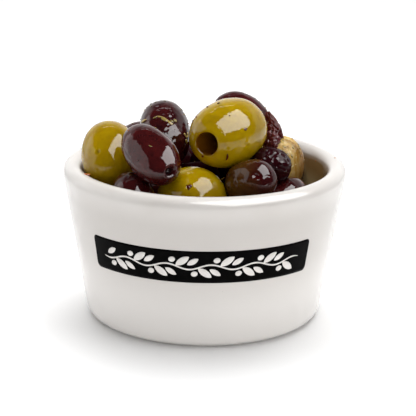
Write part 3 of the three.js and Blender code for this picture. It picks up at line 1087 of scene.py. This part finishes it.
# The bore is painted dark inside, as shade.
BORE_SHADE_FROM = 4  # it is dark from this far inside, and fully so after the next length
BORE_SHADE_OVER = 9
BORE_STRETCHES = (("end", 5), ("wall", 10), ("lip", 5))
FORM_STARTS = 6  # how soon the real form takes over outside the lip

TOP_TONES = {
    "pitted green": 0.5,
    "left green": 0.42,
    "front green": 0.64,
    "ochre": 0.68,
    "front purple": 0.5,
    "herbed purple": 0.44,
    "high purple": 0.56,
    "back purple": 0.5,
    "brown": 0.55,
    "wrinkled black": 0.5,
    "left rim purple": 0.46,
    "right rim purple": 0.56,
}
LOOSE_TONES = (0.35, 0.65)
TONE_SEED = 41

# Sides and rings of an olive's mesh.
PITTED_MESH = (160, 90)
BUMPY_MESH = (144, 98)
TOP_MESH = (112, 76)
LOOSE_MESH = (64, 42)


def bulge(point, seed, kind):
    """How far the skin stands off a smooth egg at a point of it."""
    slow, quick, wrinkle = SHAPES[kind]
    p = Vector(point) + Vector([seed * step for step in SEED_STEP])
    height = slow * noise.noise(p / SLOW_LENGTH) + quick * noise.noise(p / QUICK_LENGTH)
    if wrinkle:
        bend, length = WRINKLE_BEND
        warped = p / WRINKLE_LENGTH + noise.noise_vector(p / length) * bend
        height -= wrinkle * max(0, WRINKLE_RISE - WRINKLE_NARROWING * abs(noise.noise(warped)))
    return height


def lip_height(share, lip):
    height, place, breadth = lip
    return height * math.exp(-((share - place) ** 2) / breadth)


def mark_height(kind, distance, radius, depth):
    """Height and darkness that a mark gives the skin at a distance from its middle."""
    share = distance / radius
    if share > MARK_REACH:
        return 0.0, 0.0
    # A pit is painted dark inside, as shade in its hollow.
    if kind == "pit":
        fall = 1 / (1 + math.exp((share - PIT_EDGE) * PIT_STEEPNESS))
        return depth * (lip_height(share, PIT_LIP) - fall), min(1, PIT_SHADE * fall)
    if kind == "scar":
        fall = math.exp(-(share**2) * SCAR_STEEPNESS)
        return depth * (lip_height(share, SCAR_LIP) - fall), SCAR_DARKNESS * fall**3
    way, steep, dark, dark_steep = SOFT_MARKS[kind]
    darkness = min(1, dark * math.exp(-(share**2) * dark_steep))
    return way * depth * math.exp(-(share**2) * steep), darkness


def marks_on(olive):
    """The olive's marks, each with the point of the skin that it is on."""
    rows = SKIN_MARKS.get(olive.name, []) + [
        (pixel, "blister", BUMP_RADIUS, BUMP_HEIGHT) for pixel in BUMPS.get(olive.name, [])
    ]
    seen = [(olive.seen_at(pixel), *rest) for pixel, *rest in rows]
    return [(olive.skin_point(towards)[0], *rest) for towards, *rest in seen if towards is not None]


def sheltered(olive):
    return not olive.name and math.hypot(olive.at[0], olive.at[1]) <= SHELTERED_REACH


def oil_of(olive):
    """Share of oil on an olive's skin."""
    if olive.name:
        return TOP_OIL.get(olive.name, 1.0)
    oil = SHELTERED_OIL if sheltered(olive) else 1.0
    return oil * BLACK_OIL if olive.kind == "black" else oil


def finish_skin(olive, plain, points, normals):
    """Moves smooth skin points to their uneven places, and gives each its darkness and its oil.

    The marks' places are on the plain ellipsoid, as are the plain points that belong to the others.
    """
    marks = marks_on(olive)
    film = oil_of(olive)
    moved, dark, oil = [], [], []
    for start, point, normal in zip(plain, points, normals):
        height = bulge(point - olive.at, olive.seed, olive.kind)
        darkness, wet = 0.0, film
        for at, kind, radius, depth in marks:
            rise, shade = mark_height(kind, float(np.linalg.norm(start - at)), radius, depth)
            height += rise
            darkness = max(darkness, shade)
            if kind == "blister":
                wet = max(wet, min(BLISTER_OIL * rise / depth, 1))
        moved.append(point + normal * height)
        dark.append(darkness)
        oil.append(wet)
    return moved, dark, oil


def fullness(olive, local):
    """How far out a point of the plain ellipsoid lies on the real form, as a share."""
    barrel, egg = FORMS.get(olive.name, USUAL_FORM)
    along = local[2] / olive.a
    rest = max(1 - along**2, 0)
    return 1 + 4 * barrel * along**2 * rest + egg * along * rest  # along**2 * rest is 1 / 4 at most


def formed(olive, plain, normal):
    """Where a point of the plain ellipsoid lies on the olive's real form. The outline stays."""
    turn = olive.frame()
    local = turn.T @ (plain - olive.at)
    place = turn @ (local * fullness(olive, local))
    near = VIEW_AXIS - (VIEW_AXIS @ olive.along) * olive.along
    near /= -np.linalg.norm(near)
    facing = clamped(-PRESSED_FACING * float(normal @ VIEW_AXIS))
    return olive.at + place - near * max(place @ near, 0) * facing * (1 - PRESSED.get(olive.name, 1))


def blush_and_shade_of(olive, points):
    """How much of the second colour each point has."""
    share, start, length = BLUSH_AND_SHADE_SIDES.get(olive.name, (0.0, 0, 1))
    return [share * clamped((p[0] - olive.at[0] - start) / length) for p in points]


def whole_olive(olive, builder, tone, sides, rings):
    """An egg with its poles at the ends of the stone."""
    turn = olive.frame()
    half = np.array([olive.b, olive.b, olive.a])
    plain, points, normals = [], [], []
    for unit in ball_points(sides, rings):
        normal = unit / half
        normals.append(turn @ (normal / np.linalg.norm(normal)))
        plain.append(olive.at + turn @ (unit * half))
        points.append(formed(olive, plain[-1], normals[-1]))
    moved, dark, oil = finish_skin(olive, plain, points, normals)
    blush = blush_and_shade_of(olive, moved)
    builder.add(moved, downward_faces(rings, sides), tone=tone, mark=dark, blush=blush, oil=oil)


def pitted_olive(olive, builder, tone, sides, rings):
    """An egg with a bore along the stone, in rings round the bore's middle line.

    The rings go from the bore's end along its wall and over the lip, then round the skin.
    """
    turn = olive.frame()
    half = np.array([olive.b, olive.b, olive.a])
    offset = turn.T @ (olive.skin_point(PIT_MOUTH)[0] - olive.at)
    offset[2] = 0
    floor_z = olive.a - PIT_HOLE_DEPTH
    plain, points, normals, inside = [], [], [], []

    def add(local, normal, deep, full=1.0):
        plain.append(olive.at + turn @ (offset + local))
        points.append(olive.at + turn @ (offset + local) * full)
        normals.append(turn @ (normal / np.linalg.norm(normal)))
        inside.append(deep)

    def skin_height(side):
        """Height of the skin over a place beside the stone's line."""
        return olive.a * math.sqrt(1 - side @ side / olive.b**2)

    def bore_size(phi):
        """The bore's radius on one side, and the height of the skin round its lip there."""
        uneven = BORE_OVAL * math.sin(2 * phi + 1) + BORE_THREE_SIDED * math.sin(3 * phi)
        radius = PIT_HOLE / 2 * (1 + uneven)
        out = np.array([math.cos(phi), math.sin(phi)])
        return out, radius, skin_height(offset[:2] + out * (radius + BORE_LIP))

    def bore_point(stretch, share, phi):
        out, radius, top = bore_size(phi)
        a = math.pi / 2 * share
        inward, up, deep = 1.0, 0.05, 1.0
        if stretch == "end":
            reach, z, up = radius * math.sin(a), floor_z - radius * math.cos(a), 0.3
        elif stretch == "wall":
            z = floor_z + (top - BORE_LIP - floor_z) * share
            place = Vector((*(out * BORE_ROUGH_ROUND), z / BORE_ROUGH_LENGTH))
            reach = radius + BORE_ROUGHNESS * noise.noise(place)
        else:
            reach, z = radius + BORE_LIP * (1 - math.cos(a)), top - BORE_LIP + BORE_LIP * math.sin(a)
            inward, up, deep = math.cos(a), math.sin(a), 1 - share
        add(np.append(reach * out, z), np.append(-inward * out, up), deep)

    def outer_point(share, phi):
        out, radius, top = bore_size(phi)
        start = math.atan2(radius + BORE_LIP, top)
        psi = start + (math.pi - start) * share
        ray = np.append(math.sin(psi) * out, math.cos(psi))
        far = ball_hits(offset / half, ray / half)[1]
        skin = offset + ray * far
        full = 1 + (fullness(olive, skin) - 1) * min(share * FORM_STARTS, 1)
        add(ray * far, skin / half**2, 0.0, full)

    up = np.array(UP)
    add(up * (floor_z - PIT_HOLE / 2), up, 1.0)
    for stretch, steps in BORE_STRETCHES:
        for r in range(1, steps + 1):
            for phi in directions(sides):
                bore_point(stretch, r / steps, phi)
    for r in range(1, rings + 1):
        for phi in directions(sides):
            outer_point(r / (rings + 1), phi)
    add(-up * skin_height(offset[:2]), -up, 0.0)

    moved, dark, _ = finish_skin(olive, plain, points, normals)
    kept = [p if deep >= 1 else m for p, m, deep in zip(points, moved, inside)]
    # Painted shade in the bore: darker the deeper it goes.
    down = [olive.a - (p - olive.at) @ turn[:, 2] for p in kept]
    shade = [clamped((low - BORE_SHADE_FROM) / BORE_SHADE_OVER) for low in down]
    dark = [max(d, deep * s) for d, deep, s in zip(dark, inside, shade)]
    faces = downward_faces(sum(steps for _, steps in BORE_STRETCHES) + rings, sides)
    builder.add(kept, faces, tone=tone, mark=dark, blush=inside, oil=1.0)


def make_olives(olives, materials):
    draw = draws(TONE_SEED)
    builders = {kind: Builder(*SKIN_VALUES) for kind in OLIVE_SKINS}
    for olive in olives:
        builder = builders[olive.kind]
        # Sheltered olives are painted darker, as shade under the others.
        loose_tone = between(LOOSE_TONES, next(draw)) - SHELTERED_SHADE * sheltered(olive)
        tone = TOP_TONES.get(olive.name, loose_tone)
        if olive.name == "pitted green":
            pitted_olive(olive, builder, tone, *PITTED_MESH)
        else:
            mesh = BUMPY_MESH if olive.name in BUMPS else TOP_MESH if olive.name else LOOSE_MESH
            whole_olive(olive, builder, tone, *mesh)
    for kind, builder in builders.items():
        builder.piece(kind + "_olives", materials[kind], "olives", "olives")


# ---------------------------------------------------------------- core, scrap, herbs, crumbs

# A crumpled scrap of red pepper, wedged between the pitted olive and the ochre one.
SCRAP_AT = Vector((23.4, -3.5, 62))
SCRAP_LENGTH = 10.5
SCRAP_WIDTH = 6.4
SCRAP_MESH = (72, 48)  # sides and rings

# Folds of torn skin beside it: the pixels of both ends, width.
SKIN_FOLDS = [((267, 112), (282.5, 138), 3.2), ((267, 124), (281, 136), 3.6)]
FOLD_MESH = (48, 32)
FOLD_LOOK = dict(tone=0.78, oil=0.45)

# Relief of both, in shares of their half-lengths: broad lumps, cut by sharp folds.
LUMP_RELIEF = 0.22
LUMP_COUNT = 3.1
FOLD_RELIEF = 0.4
FOLD_COUNT = 2.3
FOLD_BREADTH = 0.3
FOLD_SHIFT = Vector((4, 1, 7))  # to another part of the noise

# The larger herb slivers on each olive: the pixels of both ends, width.
HERB_SLIVERS = {
    "herbed purple": [
        ((153.0, 118.8), (157.6, 116.5), 0.7),
        ((156.6, 116.6), (161.8, 117.3), 0.7),
        ((160.4, 117.2), (168.6, 122.4), 1.5),
        ((167.2, 121.2), (172.8, 125.9), 1.2),
        ((170.2, 121.0), (173.6, 123.0), 0.8),
        ((173.6, 119.6), (176.2, 122.6), 1.4),
        ((141.4, 122.6), (146.4, 120.4), 1.2),
        ((182.4, 133.2), (184.8, 136.6), 1.0),
        ((186.4, 132.0), (186.8, 136.2), 1.0),
        ((184.4, 137.4), (187.0, 136.0), 0.6),
        ((184.0, 138.6), (185.2, 143.4), 1.4),
    ],
    "ochre": [
        ((281.0, 139.4), (284.6, 142.6), 0.8),
        ((277.0, 141.4), (280.6, 144.0), 0.9),
        ((282.0, 146.2), (286.4, 148.4), 0.8),
    ],
    "front purple": [((146.8, 143.6), (150.2, 145.0), 0.5)],
    "high purple": [
        ((270.0, 121.0), (273.0, 125.4), 0.7),
        ((271.0, 129.6), (273.4, 134.6), 0.9),
        ((268.6, 126.4), (271.0, 129.0), 0.6),
    ],
}

# Dark red flecks of chilli, in the same way.
CHILLI_FLECKS = {
    "pitted green": [
        ((217.3, 103.8), (220.0, 102.7), 0.6),
        ((206.5, 107.5), (208.5, 106.6), 0.5),
        ((196.3, 118.2), (197.7, 117.0), 0.5),
        ((193.3, 121.8), (194.4, 120.6), 0.5),
        ((244.0, 129.9), (247.0, 128.7), 0.9),
        ((226.6, 159.6), (228.0, 152.8), 0.75),
        ((202.5, 156.6), (203.9, 155.4), 0.7),
        ((229.0, 116.1), (230.2, 115.7), 0.4),
        ((260.4, 105.0), (261.6, 106.6), 0.5),
    ],
    "high purple": [((248.0, 95.8), (252.0, 96.8), 1.0)],
    "front purple": [((136.0, 158.6), (137.4, 158.2), 0.4)],
    "front green": [
        ((186.6, 186.0), (190.4, 188.8), 1.0),
        ((189.4, 185.4), (192.0, 187.4), 0.8),
        ((188.0, 189.4), (189.6, 190.2), 0.5),
    ],
}
SLIVER_THICKNESS = 0.4
HERB_TONES = (0.45, 0.8)
CHILLI_TONES = (0.0, 0.2)

# Small flakes: how many lie on an olive, their lengths and widths, and their thickness. A power
# above 1 makes more of them short.
HERB_COUNTS = {"herbed purple": 40, "ochre": 34, "high purple": 24}
HERB_COUNT = 5
HERB_SIZES = ((0.6, 1.8), (0.3, 0.6), 0.2)
HERB_POWER = 2
CHILLI_COUNT = 3
CHILLI_SIZES = ((0.5, 0.9), (0.4, 0.4), 0.25)
CHILLI_POWER = 1
SPRINKLED = ("ochre", "back purple")  # named olives that have them also where they show
SCATTER_HEIGHTS = (0.12, 1)  # where on an olive they lie, as the height of a direction
SCATTER_SEED = 19
SHOWS_FROM = 0.1  # how much the skin has to face the camera

FLAKE_MESH = (8, 7)
FLAKE_LIFT = 0.4  # of its thickness
FLAKE_CURL = 0.08  # of its length

# Crumbs on the rim: pixel and length.
RIM_CRUMBS = [
    ((87, 173.8), 2.3), ((84.6, 172.6), 0.9), ((297, 143), 0.9), ((335, 158), 0.6), ((316, 152), 0.5),
]
CRUMB_MESH = (12, 8)
CRUMB_RELIEF = 0.3
CRUMB_TONE = 0.9


def make_core(material):
    """Fills the bowl up to the olives: an oily dome painted dark as shade, lumpy where it could be
    glimpsed.
    """
    edge_r = inside_radius(CORE_EDGE) - WALL_GAP - PRESS
    low_z = CORE_EDGE - CORE_SKIRT
    skirt = [(inside_radius(low_z) - WALL_GAP - PRESS, low_z), (edge_r, CORE_EDGE)]
    angles = [math.pi / 2 * i / CORE_STEPS for i in range(1, CORE_STEPS)]
    rise = CORE_CROWN - CORE_EDGE
    dome = [(edge_r * math.cos(a), CORE_EDGE + rise * math.sin(a)) for a in angles]
    points = [(0, 0, low_z)]
    for radius, z in skirt + dome:
        for a in directions(CORE_SIDES):
            x, y = radius * math.cos(a), radius * math.sin(a)
            lump = noise.noise(Vector((x, y, z)) / CORE_LUMP) if z > CORE_EDGE else 0
            points.append((x, y, z + lump))
    points.append((0, 0, CORE_CROWN))
    core = Builder(*SKIN_VALUES)
    core.add(points, ring_faces(len(skirt + dome), CORE_SIDES), **CORE_SHADE_LOOK)
    core.piece("heap_core", material, "olives", "olives")


def lump(at, axes, mesh, height):
    """A closed lump: axes are its three half-lengths as vectors, and height its relief."""
    points = []
    for unit in ball_points(*mesh):
        swell = 1 + height(unit)
        points.append(at + sum((axis * u for axis, u in zip(axes, unit)), Vector()) * swell)
    sides, rings = mesh
    return points, downward_faces(rings, sides)


def upright_axes(x, y, z):
    return Vector((x, 0, 0)), Vector((0, y, 0)), Vector((0, 0, z))


def crumple(unit):
    p = Vector(unit)
    beside_fold = abs(noise.noise(p * FOLD_COUNT + FOLD_SHIFT))
    lumps = LUMP_RELIEF * noise.noise(p * LUMP_COUNT)
    return lumps - FOLD_RELIEF * max(0, FOLD_BREADTH - beside_fold)


def make_scrap(pepper, skin):
    axes = upright_axes(SCRAP_WIDTH / 2, SCRAP_WIDTH / 2, SCRAP_LENGTH / 2)
    scrap = Builder("tone")
    scrap.add(*lump(SCRAP_AT, axes, SCRAP_MESH, crumple), tone=0.5)
    scrap.piece("pepper_scrap", pepper, "olives", "olives")

    depth = (SCRAP_AT - VIEW_POINT).dot(VIEW_FORWARD)

    def beside_scrap(pixel):
        ray = pixel_ray(*pixel)
        return VIEW_POINT + ray * (depth / ray.dot(VIEW_FORWARD))

    folds = Builder(*SKIN_VALUES)
    for start, stop, width in SKIN_FOLDS:
        first, last = beside_scrap(start), beside_scrap(stop)
        along = (last - first) / 2
        across = along.cross(VIEW_FORWARD).normalized() * width / 2
        axes = (VIEW_FORWARD * width / 2, across, along)
        folds.add(*lump((first + last) / 2, axes, FOLD_MESH, crumple), **FOLD_LOOK)
    folds.piece("skin_folds", skin, "olives", "olives")


def smooth(unit):
    return 0.0


def flake(builder, olive, towards, along, size, tone):
    """A bent sliver that lies on an olive's skin; size is its length, width and thickness."""
    plain, normal = olive.skin_point(towards)
    place = formed(olive, plain, normal)
    raised = bulge(place - olive.at, olive.seed, olive.kind)
    length, width, thick = size
    normal = Vector(normal)
    centre = Vector(place) + normal * (raised + thick * FLAKE_LIFT)
    across = normal.cross(along).normalized()
    along = across.cross(normal)
    axes = (across * width / 2, normal * thick / 2, along * length / 2)
    points, faces = lump(Vector(), axes, FLAKE_MESH, smooth)
    bend = length**2 / (8 * olive.b)  # how far a chord of this length lies under the olive's skin
    bent = []
    for p in points:
        share = p.dot(along) / (length / 2)
        bent.append(centre + p + (across * FLAKE_CURL * length - normal * bend) * share**2)
    builder.add(bent, faces, tone=tone)


def put_slivers(builder, slivers, olives, tones, draw):
    by_name = {olive.name: olive for olive in olives if olive.name}
    for name, rows in slivers.items():
        olive = by_name[name]
        for start, stop, width in rows:
            first, last = olive.seen_at(start), olive.seen_at(stop)
            if first is None or last is None:
                continue
            way = Vector(olive.skin_point(last)[0] - olive.skin_point(first)[0])
            size = (way.length, width, SLIVER_THICKNESS)
            flake(builder, olive, first + last, way, size, between(tones, next(draw)))


def scatter(builder, olive, count, sizes, power, draw):
    """Small flakes on the upper half. Where a named olive shows, most have places of their own."""
    lengths, widths, thick = sizes
    for _ in range(count):
        z, phi = between(SCATTER_HEIGHTS, next(draw)), math.tau * next(draw)
        flat = math.sqrt(1 - z * z)
        towards = np.array([flat * math.cos(phi), flat * math.sin(phi), z])
        along = Vector([next(draw) - 0.5 for _ in range(3)])
        size = (between(lengths, next(draw) ** power), between(widths, next(draw)), thick)
        tone = next(draw)
        shows = olive.name and -float(towards @ VIEW_AXIS) > SHOWS_FROM
        if not shows or olive.name in SPRINKLED:
            flake(builder, olive, towards, along, size, tone)


def make_herbs(olives, herb, chilli):
    draw = draws(SCATTER_SEED)
    leaves = Builder("tone")
    put_slivers(leaves, HERB_SLIVERS, olives, HERB_TONES, draw)
    for olive in olives:
        scatter(leaves, olive, HERB_COUNTS.get(olive.name, HERB_COUNT), HERB_SIZES, HERB_POWER, draw)
    leaves.piece("herb_flakes", herb, "olives", "olives")
    flecks = Builder("tone")
    put_slivers(flecks, CHILLI_FLECKS, olives, CHILLI_TONES, draw)
    for olive in olives:
        scatter(flecks, olive, CHILLI_COUNT, CHILLI_SIZES, CHILLI_POWER, draw)
    flecks.piece("chilli_flecks", chilli, "olives", "olives")


def crumb_relief(unit):
    return CRUMB_RELIEF * noise.noise(Vector(unit) * 2)


def make_rim_crumbs(material):
    """Crumbs on the round rim. A crumb's middle is an eighth of its length above the glaze."""
    crumbs = Builder("tone")
    for pixel, length in RIM_CRUMBS:
        ray = pixel_ray(*pixel)
        at = VIEW_POINT + ray * ((BOWL_HEIGHT - VIEW_POINT.z) / ray.z)
        drop = BEAD - math.sqrt(max(BEAD**2 - (math.hypot(at.x, at.y) - BEAD_R) ** 2, 0))
        axes = upright_axes(length / 2, length / 3, length / 5)
        crumbs.add(*lump(at - UP * (drop - length / 8), axes, CRUMB_MESH, crumb_relief), tone=CRUMB_TONE)
    crumbs.piece("rim_crumbs", material, "olives")


# ---------------------------------------------------------------- surroundings, in metres

TABLE_REACH = 3.0
TABLE_EDGE = -0.4  # it ends here in front, out of the picture
PALE = (0.97, 0.97, 0.97, 1)
WHITE = (1, 1, 1, 1)

# Soft boxes: name, place, size, brightness, and whether they show as reflections. Those that do
# light nothing else, and the others light what isn't shiny.
PANELS = [
    ("glint_box", (0.32, -0.21, 0.59), (0.92, 0.7), 6.9, True),
    ("left_panel", (-0.9, 0.05, 0.28), (1.1, 0.8), 1.1, True),
    ("back_strip", (-0.08, 0.6, 0.86), (0.6, 0.05), 2.4, True),
    ("top_fill", (0.03, 0.2, 1.0), (0.95, 0.95), 4.96, False),
    ("front_fill", (-0.1, -1.2, 0.6), (1.0, 0.8), 0.75, False),
    ("low_fill", (-0.1, -1.3, 0.14), (1.6, 0.3), 2.25, False),
    ("right_fill", (1.1, -0.4, 0.3), (0.8, 0.8), 2.2, False),
    ("left_fill", (-1.1, -0.4, 0.3), (0.8, 0.8), 1.0, False),
]
PANEL_AIM = Vector((0, 0, 0.06))

# The backdrop, by the cosine of the angle to the camera's direction and, for its top, by height.
BACKDROP_EDGE = (0.16, 0.26)
BACKDROP_TOP = (0.5, 0.8)  # a reflection of the backdrop ends here
BACKDROP_MIDDLE = (0.5, 0.95)  # it is brightest here
WORLD_BACK = 1.15
WORLD_SIDE = 0.65
WORLD_FRONT = 0.03


def make_floor():
    mesh = bpy.data.meshes.new("floor")
    left, right, front, back = -TABLE_REACH, TABLE_REACH, TABLE_EDGE, TABLE_REACH
    corners = [(left, front, 0), (right, front, 0), (right, back, 0), (left, back, 0)]
    mesh.from_pydata(corners, [], [(0, 1, 2, 3)])
    floor = bpy.data.objects.new("floor", mesh)
    bpy.context.collection.objects.link(floor)
    values = {"Base Color": PALE, "Roughness": 0.8, "Specular IOR Level": 0.0}
    mesh.materials.append(Nodes(bpy.data.materials.new("floor")).finish(values))


def make_panel(name, place, size, brightness, mirrored):
    """A soft box: brightness is what a mirror would show, with the white backdrop as 1."""
    light = bpy.data.lights.new(name, "AREA")
    light.shape = "RECTANGLE"
    light.size, light.size_y = size
    light.energy = brightness * math.pi * size[0] * size[1]
    made = bpy.data.objects.new(name, light)
    made.location = place
    made.rotation_euler = (PANEL_AIM - Vector(place)).to_track_quat("-Z", "Y").to_euler()
    made.visible_camera = False
    made.visible_glossy = mirrored
    made.visible_diffuse = not mirrored
    bpy.context.collection.objects.link(made)


def make_world():
    """White behind the object, dark on the camera's side, and white to the camera."""
    world = bpy.data.worlds.new("studio")
    bpy.context.scene.world = world
    nodes = Nodes(world, "Background")
    direction = nodes.place("Generated")
    values = {0: direction, 1: VIEW_FORWARD}
    away = nodes.add("ShaderNodeVectorMath", "Value", values, operation="DOT_PRODUCT")
    middle = nodes.window(away, *BACKDROP_MIDDLE)
    middle = nodes.maths("MULTIPLY_ADD", middle, WORLD_BACK - WORLD_SIDE, WORLD_SIDE)
    reflected = nodes.add("ShaderNodeLightPath", "Is Glossy Ray")
    seen = nodes.add("ShaderNodeLightPath", "Is Camera Ray")
    above = nodes.times(nodes.window(nodes.height(direction), *BACKDROP_TOP), reflected)
    back = nodes.times(nodes.window(away, *BACKDROP_EDGE), nodes.maths("SUBTRACT", 1.0, above))
    light = nodes.maths("MAXIMUM", nodes.times(back, middle), WORLD_FRONT)
    nodes.finish({"Color": WHITE, "Strength": nodes.maths("MAXIMUM", light, seen)})


# ---------------------------------------------------------------- the whole


def main():
    view = bpy.context.scene.view_settings
    view.view_transform = "Standard"
    view.look = "None"
    noise.seed_set(WRINKLE_SEED)
    make_camera()
    make_world()
    for row in PANELS:
        make_panel(*row)
    make_floor()

    skins = {kind: olive_skin(kind + " olive skin", **skin) for kind, skin in OLIVE_SKINS.items()}
    herb = flake_material("dried herb", *HERB_LOOK)
    chilli = flake_material("chilli", *CHILLI_LOOK)
    pepper = flake_material("red pepper", *PEPPER_LOOK)
    make_bowl(glaze_material())
    make_band(print_material("black print", BLACK_PRINT), print_material("white print", WHITE_PRINT))
    olives = heaped_olives()
    make_olives(olives, skins)
    make_core(skins["black"])
    make_scrap(pepper, skins["purple"])
    make_herbs(olives, herb, chilli)
    make_rim_crumbs(chilli)


main()
